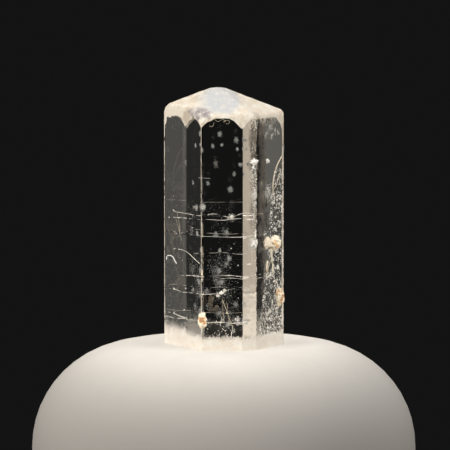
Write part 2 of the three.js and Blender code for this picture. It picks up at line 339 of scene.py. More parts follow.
def filmShare(p, n):
    # a dull film between the two
    if not facesRight(n):
        return 0.0
    patchy = 1.0 + 0.5 * noiseAt(p.x * 3, 2.0, p.z * 0.9) + 0.35 * noise.noise(p * 5)
    end, before, after = crystal["filmEnd"]
    end += 0.1 * noiseAt(3.0, 1.0, p.z * 1.2)
    strip = within((*crystal["filmStrip"], end - before, end + after), p.x)
    upwards = 0.6 * smooth(*crystal["filmFrom"], p.z) + 0.4 * smooth(*crystal["filmFull"], p.z)
    return patchy * strip * (1 - smooth(*crystal["filmTop"], p.z)) * upwards


def needsFineMesh(p, n):
    if p.z < crystal["fineBelow"] or etchedShare(p, n) > 0.05:
        return True
    return p.z > crystal["fineAbove"] and facesFrontRight(n)


def splitEdge(a, b):
    # points along an edge, the same ones whichever end comes first; long ones meet the ledges
    if tuple(b) < tuple(a):
        return splitEdge(b, a)[::-1]
    length = (b - a).length
    count = max(1, math.ceil(length / crystal["edgeSpacing"]))
    shares = [i / count for i in range(count + 1)]
    if length > 4 and abs((b - a).normalized().z) > 0.999:
        marks = [(z - a.z) / (b.z - a.z) for z in ledgeRows(a.x, a.y)]
        gap = 0.4 * crystal["edgeSpacing"] / length
        shares = [s for s in shares if all(abs(s - m) > gap for m in marks)] + marks
        shares = sorted(s for s in shares if 0 <= s <= 1)
    return [a.lerp(b, s) for s in shares]


def scatterInside(outline, spacing, rng):
    # points of a jittered grid, none of them close to the outline
    middle = sum(outline, Vector((0, 0))) / len(outline)
    walls = []
    for a, b in zip(outline, outline[1:] + outline[:1]):
        inward = Vector((a.y - b.y, b.x - a.x)).normalized()
        walls.append((a, inward if inward.dot(middle - a) > 0 else -inward))
    low = Vector((min(p.x for p in outline), min(p.y for p in outline)))
    high = Vector((max(p.x for p in outline), max(p.y for p in outline)))
    rowShare = crystal["rowShare"]
    for j in range(int((high.y - low.y) / (spacing * rowShare)) + 1):
        for i in range(int((high.x - low.x) / spacing) + 2):
            jog = Vector((rng.uniform(-1, 1), rng.uniform(-1, 1))) * spacing * crystal["jitter"]
            p = low + Vector(((i + 0.5 * (j % 2)) * spacing, (j + 0.5) * spacing * rowShare)) + jog
            if all(n.dot(p - a) > crystal["wallGap"] * spacing for a, n in walls):
                yield p


def meshFace(face, kind, rng):
    # one flat face as small triangles; neighbours share the points along their common edge
    normal = face.normal.copy()
    across = Vector((0, 0, 1)).cross(normal)
    across = across.normalized() if across.length > 0.01 else Vector((1, 0, 0))
    up = normal.cross(across)
    corners = [v.co.copy() for v in face.verts]
    base = corners[0]
    rim = []
    for a, b in zip(corners, corners[1:] + corners[:1]):
        rim += splitEdge(a, b)[:-1]
    flatRim, outline = [[Vector(((p - base).dot(across), (p - base).dot(up))) for p in line]
                        for line in (rim, corners)]
    points = []
    for spacing in (crystal["spacing"], crystal["etchedSpacing"]):
        for p in scatterInside(outline, spacing, rng):
            place = base + across * p.x + up * p.y
            isSide = kind == "side"
            fine = isSide and needsFineMesh(place, normal)
            if fine == (spacing == crystal["etchedSpacing"]) and not (isSide and nearLedge(place)):
                points.append(p)
    if kind == "side":
        lowX = min(p.x for p in outline) + 0.5 * crystal["spacing"]
        highX = max(p.x for p in outline) - 0.5 * crystal["spacing"]
        columns = max(1, round((highX - lowX) / (0.7 * crystal["spacing"])))
        for i in range(columns + 1):
            x = lowX + (highX - lowX) * i / columns
            place = base + across * x
            points += [Vector((x, z - base.z)) for z in ledgeRows(place.x, place.y)]
    count = len(rim)
    flat = delaunay_2d_cdt(flatRim + points, [], [list(range(count))], 1, 1e-7)
    verts = [rim[origin[0]] if origin and origin[0] < count else base + across * p.x + up * p.y
             for p, origin in zip(flat[0], flat[3])]
    return verts, flat[2]


def frostedShare(kind, turns, p):
    # the chance that a triangle here takes the frosted finish
    if kind in ("tip", "foot") or not turns:
        return 1.0
    ragged = 0.22 * noise.noise(p * 1.9) + 0.16 * noise.noise(p * 6) + 0.1 * noise.noise(p * 15)
    frostLine = crystal["frostLines"].get(turns[0] if kind == "side" else None)
    if frostLine and p.z + 0.25 * ragged > lineAt(frostLine, p.x):
        return 1.0
    for outlineX, low, slope in crystal["frostTongues"]:
        if p.z + 0.4 * ragged > low + slope * abs(outlineX - p.x):
            return 1.0
    whole, gone = [sum(crystal["footTops"][turn][i] for turn in turns) / len(turns) for i in (0, 1)]
    lowX, lowShare = crystal["lowFoot"]
    lowered = 1 - (1 - lowShare) * smooth(lowX - 0.06, lowX + 0.06, p.x) if 300 in turns else 1.0
    foot = 1 - smooth(whole * lowered, gone * lowered, p.z + 0.4 * ragged)
    if foot > 0:
        return foot
    fade = crystal["frostFades"].get(turns[0])
    if kind == "side" and fade and p.z > fade[0]:
        clear, full, thinned = fade
        return thinned * smooth(clear, full, p.z + ragged)
    rubbed = findRubbed(turns)
    if kind == "side" or (len(turns) == 2 and not rubbed):
        return 0.0
    if rubbed:
        # in stretches, and more of it towards the foot
        return rubbed[1] + 0.5 * noiseAt(p.x, p.y, p.z * 1.7) + 0.35 * (1 - smooth(0, 5, p.z))
    return 1.0


def meshCrystal():
    # points, triangles, and for each triangle whether it is frosted
    rng = random.Random(crystal["seed"])
    facets = roundEdges(listFacets())
    solid = cutConvex(facets)
    keys = {}
    points = []
    triangles = []
    frostedFaces = []
    for face in solid.faces:
        kind, turns = findFacet(face, facets)[2:]
        verts, faces = meshFace(face, kind, rng)
        index = []
        for p in verts:
            key = tuple(round(c, 5) for c in p)
            if key not in keys:
                keys[key] = len(points)
                points.append(p)
            index.append(keys[key])
        for tri in faces:
            ids = [index[i] for i in tri]
            if len(set(ids)) < 3:
                continue
            a, b, c = (points[i] for i in ids)
            if (b - a).cross(c - a).dot(face.normal) < 0:
                ids.reverse()
            triangles.append(ids)
            frostedFaces.append(rng.random() < frostedShare(kind, turns, (a + b + c) / 3))
    solid.free()
    return points, triangles, frostedFaces


def reliefAt(p, n):
    # how far the surface stands out at a point, and how dissolved it is
    upward = smooth(0.1, 0.3, n.z)
    downward = smooth(0.3, 0.7, -n.z)
    side = (1 - upward) * (1 - downward)
    height = side * crystal["waveHeight"] * noise.noise(p * 0.9)
    if upward:
        hills = noise.noise(p * 3.1) + 0.6 * noise.noise(p * 7.3) + 0.4 * noise.noise(p * 15)
        height += upward * crystal["tipHeight"] * hills
    if downward:
        rough = abs(noise.noise(p * 1.3)) + 0.5 * abs(noise.noise(p * 3.7)) + 0.2 * abs(noise.noise(p * 9))
        height -= downward * crystal["footHeight"] * rough
    etch = etchedShare(p, n) if side else 0
    if etch:
        inStrip = p.x < crystal["stripEnd"]
        q = p * (crystal["stripFineness"] if inStrip else 1.0)
        pits = noise.noise(q * 6.5) + 0.8 * noise.noise(q * 14) - 1.2 * max(0.0, noise.noise(q * 10))
        height += etch * crystal["etchHeight"] * pits * (crystal["stripShare"] if inStrip else 1.0)
    if side:
        turn = math.degrees(math.atan2(p.x, -p.y))
        blend = crystal["ledgeFade"]
        for ledge in crystal["ledges"]:
            level, first, last, depth = ledge
            if abs(p.z - level) > 0.2:
                continue
            away = (p.z - ledgeHeight(ledge, p.x, p.y)) / crystal["ledgeWidth"]
            fade = within((first, first + blend, last - blend, last), turn)
            broken = smooth(-0.25, 0.15, noiseAt(turn / 9, level * 5, 1.0))
            height -= side * depth * math.exp(-away * away) * fade * broken
    return height, etch


def milkyShare(p, n):
    # the prism clouds towards the foot
    patchy = 0.5 + 0.5 * noise.noise(p * 1.1 + Vector((7, 0, 3)))
    onRight = facesFrontRight(n)
    clearer = crystal["milkyClear"] if abs(n.y) > 0.95 or onRight else 1.0
    milky = clearer * (1 - smooth(*crystal["milky"], p.z + 0.3 * patchy))
    if onRight and p.x < crystal["bandEnd"]:
        low, high, most = crystal["milkyBand"]
        milky = max(milky, most * (1 - smooth(low, high, p.z)))
    return milky


# the painted bluish sheen of the tip's front slope, which stands in for a reflection of cool light
def paintedSheenShare(p, n):
    middleX, middleY = crystal["sheenMiddle"]
    wide, deep = crystal["sheenReach"]
    away = math.hypot((p.x - middleX) / wide, (p.y - middleY) / deep) + 0.16 * noise.noise(p * 2.3)
    sheen = (1 - smooth(0.5, 1.16, away)) * smooth(*crystal["sheenFrom"], p.z + 0.2 * noise.noise(p * 1.7))
    return sheen * smooth(0.5, 0.8, n.z)


def masksAt(p, n, etch):
    # how much of each tint or texture the two finishes show at a point, the painted sheen and the painted
    # highlight among them
    film = filmShare(p, n)
    streak = awayFromLine(p, *crystal["greyStreak"]) + 0.25 * noise.noise(p * 4)
    beige = min((p - middle).length - size for middle, size in crystal["beigeSpots"])
    # a painted highlight on the upright faces of the left shoulder
    reach, heights = crystal["paintedShoulderLight"]
    shoulder = smooth(*reach, -p.x) * smooth(*heights, p.z) * (1 - smooth(0.1, 0.5, n.z))
    return {
        "milky": max(milkyShare(p, n), film),
        "etched": etch,
        "grimy": grimeShare(p, n),
        "browned": film,
        "paintedBlueSheen": paintedSheenShare(p, n),
        "greyStreak": 1 - smooth(0.08, 0.42, streak),
        "beigeSpot": 1 - smooth(0.16, 0.3, beige + 0.1 * noise.noise(p * 6)),
        "whiteFoot": 1 - smooth(*crystal["whiteFoot"], p.z),
        "paintedShoulderLight": shoulder,
    }


def addObject(name, points, faces, *materials):
    mesh = bpy.data.meshes.new(name)
    mesh.from_pydata([tuple(c * mm for c in p) for p in points], [], faces)
    for material in materials:
        mesh.materials.append(material)
    mesh.polygons.foreach_set("use_smooth", [True] * len(mesh.polygons))
    piece = bpy.data.objects.new(name, mesh)
    scene.collection.objects.link(piece)
    return piece


def addMask(piece, name, values):
    mask = piece.data.attributes.new(name, "FLOAT", "POINT")
    mask.data.foreach_set("value", values)


def sharpenEdges(piece, angle):
    bm = bmesh.new()
    bm.from_mesh(piece.data)
    for edge in bm.edges:
        edge.smooth = edge.calc_face_angle(0) < math.radians(angle)
    bm.to_mesh(piece.data)
    bm.free()


def makeCrystal(clearMaterial, frostedMaterial):
    points, triangles, frostedFaces = meshCrystal()
    normals = [Vector() for p in points]
    for ids in triangles:
        a, b, c = (points[i] for i in ids)
        facing = (b - a).cross(c - a)
        for i in ids:
            normals[i] += facing
    moved = []
    masks = []
    for p, n in zip(points, normals):
        n.normalize()
        height, etch = reliefAt(p, n)
        q = p + n * height
        q.z = max(q.z, 0.0)
        moved.append(q)
        masks.append(masksAt(p, n, etch))
    piece = addObject("crystalBody", moved, triangles, clearMaterial, frostedMaterial)
    piece.data.polygons.foreach_set("material_index", [int(f) for f in frostedFaces])
    for name in masks[0]:
        addMask(piece, name, [mask[name] for mask in masks])
    sharpenEdges(piece, crystal["creaseAngle"])
    return piece


def addTube(points, faces, path, radii, sides=6):
    # a closed tube along a path, its radius given at every point
    start = len(points)
    for i, (p, radius) in enumerate(zip(path, radii)):
        along = (path[min(i + 1, len(path) - 1)] - path[max(i - 1, 0)]).normalized()
        side = along.orthogonal() if i == 0 else side - along * side.dot(along)
        side.normalize()
        other = along.cross(side)
        for k in range(sides):
            a = 2 * math.pi * k / sides
            points.append(p + (side * math.cos(a) + other * math.sin(a)) * radius)
    for i in range(len(path) - 1):
        a = start + i * sides
        for k in range(sides):
            faces.append((a + k, a + (k + 1) % sides, a + sides + (k + 1) % sides, a + sides + k))
    faces.append(tuple(range(start + sides - 1, start - 1, -1)))
    last = start + (len(path) - 1) * sides
    faces.append(tuple(range(last, last + sides)))


def throughPoints(points, step):
    # a smooth path through a few points, sampled about every step
    path = []
    for i in range(len(points) - 1):
        before, a, b, after = (points[min(max(i + k, 0), len(points) - 1)] for k in (-1, 0, 1, 2))
        count = max(1, round((b - a).length / step))
        for k in range(count):
            t = k / count
            path.append(0.5 * (2 * a + (b - before) * t + (2 * before - 5 * a + 4 * b - after) * t * t
                               + (3 * a - before - 3 * b + after) * t ** 3))
    return path + [points[-1]]


def addLump(points, faces, centre, half, turn, seed, rough, detail=4):
    # a rough lump grown on a side face; its half sizes go along the face, out of it and up
    bm = bmesh.new()
    bmesh.ops.create_icosphere(bm, subdivisions=detail, radius=1)
    out = outward(turn)
    along = Vector((-out.y, out.x, 0))
    start = len(points)
    offset = Vector((seed * 7.3, seed * 3.1, seed))
    for v in bm.verts:
        d = v.co
        swell = noise.noise(d * 1.6 + offset) + 0.6 * noise.noise(d * 4.2 + offset)
        swell += 0.4 * noise.noise(d * 9 + offset)
        r = 1 + rough * swell
        depth = d.y * (1 if d.y > 0 else 0.3)
        points.append(centre + along * (half[0] * d.x * r) + out * (half[1] * depth * r)
                      + Vector((0, 0, half[2] * d.z * r)))
    for face in bm.faces:
        faces.append(tuple(start + v.index for v in face.verts))
    bm.free()


def addGrain(points, faces, centre, size, rng):
    # a tiny double pyramid with uneven corners
    start = len(points)
    spin = rng.uniform(0, math.pi)
    along = Vector((math.cos(spin), math.sin(spin), 0))
    for axis in (along, Vector((-along.y, along.x, 0)), Vector((0, 0, 1))):
        for sign in (1, -1):
            points.append(centre + axis * sign * size * rng.uniform(0.5, 1.3))
    for a, b, c in ((0, 2, 4), (2, 1, 4), (1, 3, 4), (3, 0, 4), (2, 0, 5), (1, 2, 5), (3, 1, 5), (0, 3, 5)):
        faces.append((start + a, start + b, start + c))


def finishPiece(name, points, faces, material):
    piece = addObject(name, points, faces, material)
    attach(piece, "root")
    print(name, len(piece.data.polygons), "faces")
    return piece


# rims of the healed fractures that cross the prism, as (turn, height, strength) along each
fractureRims = {
    "sunk": -0.012,        # depth of a rim's outer side: it stands proud of the surface
    "radius": 0.0165,
    "thinnest": 0.003,     # the rim breaks off where it would be thinner
    "tip": 0.002,          # radius at the ends
    "step": 1.4,
    "sway": 0.02,
    "lines": [
        [(-70, 5.2, 0.9), (-45, 5.17, 0.6), (-18, 5.18, 0.9), (-9, 5.25, 0.9), (5, 5.14, 0.7),
         (17, 5.26, 1.0), (38, 5.2, 0.4)],
        [(-70, 4.96, 0.9), (-40, 5.0, 0.6), (-15, 5.03, 0.5), (2, 5.02, 0.8), (15, 5.08, 0.7),
         (34, 5.04, 0.3)],
        [(-67, 4.35, 0.5), (-40, 4.42, 0.3), (-18, 4.41, 0.6), (-8, 4.39, 0.7), (0, 4.37, 0.5),
         (5, 4.37, 0.6), (9, 4.37, 1.3), (18, 4.38, 1.3), (34, 4.4, 0.7), (55, 4.33, 0.6)],
        [(-35, 3.68, 0.3), (-18, 3.75, 0.45), (0, 3.78, 0.4), (15, 3.72, 0.5), (32, 3.85, 0.6),
         (50, 3.8, 0.3)],
        [(-52, 2.77, 0.6), (-30, 2.84, 0.9), (-19, 2.86, 1.0), (-15, 2.84, 0.2)],
        [(-6, 2.92, 0.5), (6, 2.9, 0.8), (16, 2.87, 0.9), (40, 2.9, 0.8), (58, 2.88, 0.4)],
        [(-4, 2.78, 0.5), (6, 2.8, 1.0), (15, 2.78, 1.0), (36, 2.76, 0.6), (56, 2.8, 0.3)],
        [(-71, 2.2, 1.2), (-52, 2.15, 0.9), (-30, 2.18, 0.8), (-10, 2.2, 1.0), (-2, 2.22, 0.9),
         (6, 2.4, 0.6), (25, 2.37, 0.5), (50, 2.32, 0.3)],
        [(-70, 1.26, 1.3), (-45, 1.16, 1.1), (-19, 1.12, 1.0), (0, 1.12, 1.2), (16, 1.06, 1.0),
         (34, 1.0, 0.4), (55, 1.12, 0.8)],
        [(-70, 3.72, 0.9), (-60, 3.77, 1.0), (-44, 3.73, 1.0), (-32, 3.58, 1.1), (-20, 3.34, 1.0)],
        [(150, 5.42, 0.3), (180, 5.42, 0.45), (205, 5.4, 0.3)],
        [(160, 4.22, 0.5), (180, 4.2, 0.6), (200, 4.24, 0.4)],
        [(120, 1.2, 0.5), (150, 1.16, 0.6), (180, 1.1, 0.6), (205, 1.18, 0.6), (235, 1.2, 0.4)],
        [(155, 2.1, 0.4), (180, 2.12, 0.6), (200, 2.1, 0.4)],
        [(70, 4.3, 0.5), (110, 4.4, 0.8), (150, 4.36, 0.5)],
        [(215, 2.2, 0.6), (250, 2.15, 0.8), (285, 2.2, 0.8)],
        [(60, 1.12, 0.5), (85, 1.15, 0.8), (120, 1.2, 0.7)],
        [(235, 1.2, 0.4), (262, 1.26, 0.4), (284, 1.26, 0.6)],
        [(-23, 6.6, 0.3), (-18, 6.62, 0.6), (-11, 6.6, 0.3)],
    ],
}


def makeFractureRims(material):
    points, faces = [], []
    thinnest = fractureRims["thinnest"]
    for number, line in enumerate(fractureRims["lines"]):
        knots = throughPoints([Vector(k) for k in line], fractureRims["step"])
        run, radii = [], []
        for turn, height, strength in knots:
            grain = noiseAt(turn / 6, number * 5.1, 0.0) + noiseAt(turn, number * 5.1, 3.0)
            radius = fractureRims["radius"] * strength * (0.68 + 0.8 * grain)
            z = height + fractureRims["sway"] * noiseAt(turn / 11, number * 2.7, 9.0)
            if radius > thinnest:
                run.append(onSection(turn, z, fractureRims["sunk"] + radius))
                radii.append(radius)
            if radius <= thinnest or turn == knots[-1][0]:
                if len(run) > 2:
                    radii[0] = radii[-1] = fractureRims["tip"]
                    addTube(points, faces, run, radii)
                run, radii = [], []
    return finishPiece("fractureRims", points, faces, material)


# specks seen inside: loose clusters of grains, as (x, y, z, spread, count)
innerSpecks = {
    "grain": 0.0104,
    "perSpeck": 11,       # grains for each one counted
    "depth": 0.03,        # least depth below the faces
    "stretch": (1, 0.6, 1.25),     # shape of a cluster across, in depth and in height
    "seed": 21,
    "clusters": [
        (-0.15, -1.1, 8.22, 0.07, 34), (-0.42, -1.0, 7.76, 0.06, 20), (-0.07, -1.0, 7.8, 0.05, 12),
        (0.47, -1.1, 7.99, 0.07, 22), (0.51, -1.0, 7.64, 0.05, 10), (0.62, -1.1, 7.06, 0.05, 22),
        (0.39, -1.0, 6.68, 0.06, 12), (0.24, -1.1, 6.1, 0.08, 46), (-0.61, -1.0, 6.33, 0.07, 14),
        (-0.78, -2.4, 5.5, 0.09, 44), (-1.0, -2.18, 5.46, 0.09, 38), (0.32, -1.3, 5.05, 0.1, 46),
        (0.2, -1.2, 5.0, 0.07, 20), (-0.3, -1.0, 4.36, 0.09, 26), (0.12, -1.0, 4.47, 0.06, 12),
        (-0.15, -1.2, 3.78, 0.06, 18), (0.2, -1.1, 3.47, 0.08, 34), (0.1, -1.1, 3.26, 0.07, 16),
        (-0.18, -1.2, 3.0, 0.08, 30), (-0.3, -1.1, 2.7, 0.14, 14), (-0.2, -1.2, 2.5, 0.15, 16),
        (-0.07, -0.8, 2.54, 0.07, 20), (-0.2, -1.3, 2.1, 0.12, 26), (-0.2, -1.2, 1.4, 0.14, 26),
        (-0.65, -1.1, 2.22, 0.1, 16), (0.45, -1.1, 1.7, 0.1, 18), (0.16, -1.2, 0.95, 0.08, 26),
        (0.55, -1.2, 1.05, 0.1, 30), (-0.55, -1.2, 1.6, 0.12, 16), (-0.3, 0.6, 7.0, 0.1, 8),
        (0.05, 0.4, 4.4, 0.16, 12), (-0.4, -0.5, 3.0, 0.2, 14), (-0.1, -0.6, 3.22, 0.45, 26),
        (0.1, -0.4, 2.12, 0.4, 26), (0.2, -0.8, 1.22, 0.35, 26), (-0.3, -0.2, 5.02, 0.4, 12),
    ],
}


def makeInnerSpecks(material):
    rng = random.Random(innerSpecks["seed"])
    points, faces = [], []
    for x, y, z, spread, count in innerSpecks["clusters"]:
        for i in range(innerSpecks["perSpeck"] * count):
            jog = Vector([k * rng.gauss(0, 1) for k in innerSpecks["stretch"]]) * spread * 0.5
            spot = Vector((x, y, z)) + jog
            if isInside(spot, innerSpecks["depth"]):
                addGrain(points, faces, spot, innerSpecks["grain"] * rng.uniform(0.5, 1.3), rng)
    return finishPiece("innerSpecks", points, faces, material)


# grains and curls caught in the dissolved surface, and a few stray ones
surfaceGrains = {
    "smallest": 0.014,
    "largest": 0.062,
    "sunk": 0.2,              # share of its size that a grain is sunk
    "skew": 1.9,              # the higher it is, the more of the grains are small
    "seed": 5,
    "curlWidths": (0.03, 0.1),
    "curlRadius": 0.011,
    "curlSteps": 6,
    # face, x range, z range, count
    "curls": [(60, (1.3, 2.26), (0.5, 7.0), 230), (30, (1.06, 1.24), (4.8, 8.8), 8),
              (120, (1.5, 2.1), (1.0, 5.5), 30), (0, (-0.2, 0.6), (0.6, 1.4), 14)],
    # face, x, z, spread along and up, count
    "hazes": [
        (60, 1.68, 6.0, 0.08, 0.17, 300), (60, 1.82, 5.8, 0.05, 0.12, 130),
        (30, 1.19, 6.0, 0.035, 0.13, 150), (30, 1.17, 5.55, 0.03, 0.09, 70),
        (30, 1.1, 6.6, 0.06, 0.14, 110), (30, 1.08, 4.18, 0.055, 0.09, 170),
        (60, 1.77, 8.44, 0.06, 0.07, 80), (60, 1.85, 8.1, 0.035, 0.06, 50),
        (60, 2.08, 8.2, 0.03, 0.05, 40), (60, 1.62, 8.25, 0.06, 0.12, 60),
        (60, 1.58, 4.4, 0.04, 0.06, 60), (60, 1.62, 2.9, 0.06, 0.14, 70), (60, 1.56, 1.7, 0.06, 0.1, 70),
        (0, -0.78, 5.52, 0.035, 0.05, 50), (300, -1.09, 5.45, 0.05, 0.05, 50),
        (30, 1.13, 5.95, 0.05, 0.24, 130), (30, 1.13, 5.1, 0.05, 0.2, 70),
    ],
    # face, x range, z range, count, size of the grains
    "patches": [(60, (1.3, 2.28), (0.4, 7.2), 2700, 0.9),
                (30, (1.02, 1.28), (4.4, 8.4), 50, 0.6), (30, (1.08, 1.28), (2.6, 4.4), 40, 0.6),
                (0, (-0.84, 0.68), (0.5, 1.3), 260, 0.5),
                (0, (-0.1, 0.68), (1.0, 4.4), 80, 0.6), (300, (-2.2, -0.9), (1.4, 6.2), 22, 0.7),
                (120, (1.4, 2.2), (0.6, 6.0), 140, 0.8), (180, (-0.75, 0.8), (0.4, 4.4), 30, 0.6),
                (240, (-2.2, -1.3), (0.5, 4.8), 60, 0.7)],
}


def addHaze(points, faces, haze, rng):
    # a soft-edged patch of fine grains on one face
    turn, x, z, wide, tall, count = haze
    for i in range(count):
        place = onFace(turn, x + rng.gauss(0, wide), z + rng.gauss(0, tall))
        addGrain(points, faces, place, surfaceGrains["smallest"] * rng.uniform(0.5, 1.1), rng)


def isPolished(turn, x, z):
    # the clear part of the right-hand face, which holds no grains
    return turn == 60 and x < lineAt(crystal["etchedEdge"], z) - 0.05


def addCurl(points, faces, turn, x, z, rng):
    # a short curved ridge, like the rim of an etch pit
    start, sweep = rng.uniform(0, 360), rng.uniform(90, 260)
    wide = rng.uniform(*surfaceGrains["curlWidths"])
    steps = surfaceGrains["curlSteps"]
    path, radii = [], []
    for i in range(steps + 1):
        a = math.radians(start + sweep * i / steps)
        path.append(onFace(turn, x + 0.5 * wide * math.cos(a), z + 1.3 * wide * math.sin(a)))
        radii.append(surfaceGrains["curlRadius"] * (0.4 + 0.6 * min(i, steps - i) / (steps / 2)))
    addTube(points, faces, path, radii, sides=4)


def makeSurfaceGrains(material):
    rng = random.Random(surfaceGrains["seed"])
    points, faces = [], []
    for haze in surfaceGrains["hazes"]:
        addHaze(points, faces, haze, rng)
    for turn, (lowX, highX), (lowZ, highZ), count in surfaceGrains["curls"]:
        for i in range(count):
            x, z = rng.uniform(lowX, highX), rng.uniform(lowZ, highZ)
            if not isPolished(turn, x, z):
                addCurl(points, faces, turn, x, z, rng)
    for turn, (lowX, highX), (lowZ, highZ), count, scale in surfaceGrains["patches"]:
        for i in range(count):
            x, z = rng.uniform(lowX, highX), rng.uniform(lowZ, highZ)
            # the grains stand in loose patches, and most of them are small
            if isPolished(turn, x, z) or noiseAt(x * 2.6, z * 1.7, turn) < rng.uniform(-0.5, 0.5):
                continue
            share = rng.random() ** surfaceGrains["skew"]
            size = scale * (surfaceGrains["smallest"] * (1 - share) + surfaceGrains["largest"] * share)
            addGrain(points, faces, onFace(turn, x, z, surfaceGrains["sunk"] * size), size, rng)
    return finishPiece("surfaceGrains", points, faces, material)


def growFlakes(settings):
    points, faces = [], []
    for seed, (turn, x, z, half, rough) in enumerate(settings["flakes"], settings["firstSeed"]):
        addLump(points, faces, onFace(turn, x, z, settings["sunk"]), half, turn, seed, rough)
    return points, faces


# pale mineral flakes: face, x, z, half sizes, roughness
paleScabs = {
    "sunk": 0.02,
    "firstSeed": 1,
    "flakes": [
        (30, 1.14, 7.2, (0.14, 0.045, 0.13), 0.8), (30, 1.13, 6.98, (0.11, 0.03, 0.14), 0.8),
        (30, 1.17, 6.76, (0.06, 0.02, 0.1), 0.6), (60, 1.65, 7.17, (0.11, 0.06, 0.08), 0.6),
        (30, 1.19, 4.4, (0.035, 0.03, 0.2), 0.8), (30, 1.14, 4.14, (0.12, 0.03, 0.15), 0.9),
        (30, 1.06, 4.02, (0.13, 0.025, 0.06), 0.9), (30, 1.19, 3.98, (0.07, 0.025, 0.1), 0.9),
        (30, 1.16, 4.86, (0.02, 0.02, 0.06), 0.4), (30, 0.97, 3.94, (0.1, 0.016, 0.035), 0.8),
        (60, 2.05, 3.04, (0.09, 0.03, 0.1), 0.6),
        (60, 1.62, 2.75, (0.05, 0.02, 0.1), 0.7), (60, 1.85, 1.72, (0.05, 0.02, 0.09), 0.6),
        (60, 1.72, 1.42, (0.07, 0.02, 0.1), 0.6), (0, 0.03, 2.34, (0.05, 0.02, 0.06), 0.7),
        (0, -0.09, 2.24, (0.08, 0.025, 0.06), 0.8),
        (0, -0.22, 2.14, (0.06, 0.02, 0.04), 0.8), (0, 0.28, 3.94, (0.028, 0.02, 0.022), 0.3),
        (0, 0.24, 3.21, (0.018, 0.015, 0.018), 0.3), (0, 0.3, 5.15, (0.07, 0.02, 0.06), 0.7),
        (300, -1.92, 5.23, (0.03, 0.02, 0.03), 0.4), (300, -1.9, 4.4, (0.02, 0.02, 0.02), 0.4),
        (300, -1.92, 4.15, (0.018, 0.015, 0.02), 0.4), (300, -1.92, 5.77, (0.018, 0.015, 0.03), 0.4),
        (300, -1.72, 2.6, (0.018, 0.015, 0.02), 0.4), (300, -1.9, 2.2, (0.05, 0.02, 0.04), 0.6),
        (300, -1.9, 1.27, (0.05, 0.02, 0.04), 0.6), (300, -1.57, 3.36, (0.02, 0.015, 0.02), 0.4),
        (300, -1.66, 3.44, (0.016, 0.015, 0.02), 0.4), (60, 1.95, 8.25, (0.05, 0.012, 0.1), 0.9),
        (60, 1.8, 8.05, (0.04, 0.012, 0.07), 0.9), (120, 1.9, 5.2, (0.1, 0.02, 0.2), 0.7),
        (240, -1.7, 4.9, (0.1, 0.02, 0.16), 0.7),
    ],
}


def makePaleScabs(material):
    return finishPiece("paleScabs", *growFlakes(paleScabs), material)


# iron-stained crusts and the strands below one of them: face, x, z, half sizes, roughness,
# how stained
ironCrusts = {
    "sunk": 0.02,
    "firstSeed": 51,
    "large": 0.1,           # crusts with a greater half width have the finer mesh
    "detail": {"small": 3, "large": 5},
    "core": (0.3, 1.1),     # the stain fades from one to the other, in half sizes from the centre
    "lumps": [
        (60, 1.93, 4.0, (0.4, 0.19, 0.27), 0.25, 0.78), (60, 1.64, 4.05, (0.26, 0.07, 0.22), 0.5, 0.4),
        (60, 2.11, 1.88, (0.26, 0.14, 0.37), 0.35, 1.2), (0, -0.81, 1.19, (0.16, 0.08, 0.3), 0.4, 1.12),
        (60, 1.82, 3.42, (0.075, 0.03, 0.22), 0.5, 0.3), (60, 1.86, 3.04, (0.065, 0.03, 0.28), 0.5, 0.5),
        (60, 1.8, 3.7, (0.12, 0.03, 0.14), 0.6, 0.3), (60, 1.63, 3.12, (0.08, 0.03, 0.24), 0.6, 0.7),
        (120, 1.56, 2.4, (0.24, 0.12, 0.22), 0.4, 1.0),
    ],
}


def makeIronCrusts(material):
    points, faces, stains = [], [], []
    for seed, (turn, x, z, half, rough, stain) in enumerate(ironCrusts["lumps"], ironCrusts["firstSeed"]):
        detail = ironCrusts["detail"]["large" if half[0] > ironCrusts["large"] else "small"]
        centre = onFace(turn, x, z, ironCrusts["sunk"])
        addLump(points, faces, centre, half, turn, seed, rough, detail)
        for p in points[len(stains):]:
            away = math.hypot((p - centre).xy.length / half[0], (p.z - z) / half[2])
            stains.append(stain * (1.25 - 0.55 * smooth(*ironCrusts["core"], away)))
    piece = finishPiece("ironCrusts", points, faces, material)
    addMask(piece, "stain", stains)
    return piece


# thin flakes of rust on the front face below the middle, and on the face of the crusts
rustFilm = {
    "sunk": 0.012,
    "firstSeed": 81,
    "flakes": [
        (0, -0.46, 2.02, (0.1, 0.018, 0.13), 0.8), (0, -0.52, 1.82, (0.07, 0.016, 0.1), 0.9),
        (0, -0.42, 1.6, (0.17, 0.016, 0.07), 0.9), (0, -0.28, 1.72, (0.06, 0.016, 0.06), 0.9),
        (60, 1.62, 4.9, (0.07, 0.014, 0.2), 0.9), (60, 1.72, 4.62, (0.05, 0.014, 0.14), 0.9),
        (60, 1.6, 5.6, (0.08, 0.012, 0.16), 0.9),
    ],
}


def makeRustFilm(material):
    return finishPiece("rustFilm", *growFlakes(rustFilm), material)


